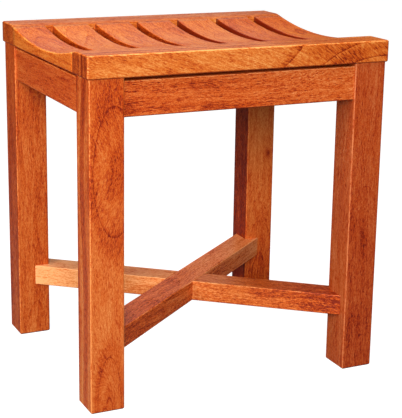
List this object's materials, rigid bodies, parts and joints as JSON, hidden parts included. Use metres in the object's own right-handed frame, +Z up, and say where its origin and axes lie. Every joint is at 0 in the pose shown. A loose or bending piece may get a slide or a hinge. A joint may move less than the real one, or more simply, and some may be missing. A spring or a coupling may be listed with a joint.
{
  "type": "shower stool",
  "caption": "Wooden shower stool with a scooped slatted seat, square legs, deep aprons and a half-lapped X stretcher.",
  "frame": {"origin": "on the floor, midway between the four legs", "axes": "+Z up, +X along the seat's long side, -Y towards the front"},
  "size_m": [0.414, 0.344, 0.45],
  "materials": {
    "seat_rail_wood": "clear satin varnish over an orange-red stain",
    "slat_wood": "clear satin varnish over an orange-red stain",
    "leg_wood": "satin varnish over a red-brown stain",
    "apron_wood": "satin varnish over a red-brown stain",
    "stretcher_wood": "satin varnish over a red-brown stain",
    "block_wood": "sanded, thin stain, no varnish",
    "dowel_wood": "plain beech",
    "stainless": "brushed"
  },
  "bodies": {
    "root": {"apron_back": "apron_wood", "apron_dowels": "dowel_wood", "apron_front": "apron_wood", "apron_left": "apron_wood", "apron_right": "apron_wood", "barrel_nuts": "stainless", "block_screws": "stainless", "corner_block_back_left": "block_wood", "corner_block_back_right": "block_wood", "corner_block_front_left": "block_wood", "corner_block_front_right": "block_wood", "lap_screw": "stainless", "leg_back_left": "leg_wood", "leg_back_right": "leg_wood", "leg_front_left": "leg_wood", "leg_front_right": "leg_wood", "leg_studs": "stainless", "seat_back_rail": "seat_rail_wood", "seat_front_rail": "seat_rail_wood", "seat_screws": "stainless", "seat_slat_1": "slat_wood", "seat_slat_2": "slat_wood", "seat_slat_3": "slat_wood", "seat_slat_4": "slat_wood", "seat_slat_5": "slat_wood", "seat_slat_6": "slat_wood", "seat_slat_7": "slat_wood", "stretcher_lower": "stretcher_wood", "stretcher_studs": "stainless", "stretcher_upper": "stretcher_wood", "stud_nuts": "stainless", "stud_washers": "stainless"}
  },
  "joints": []
}
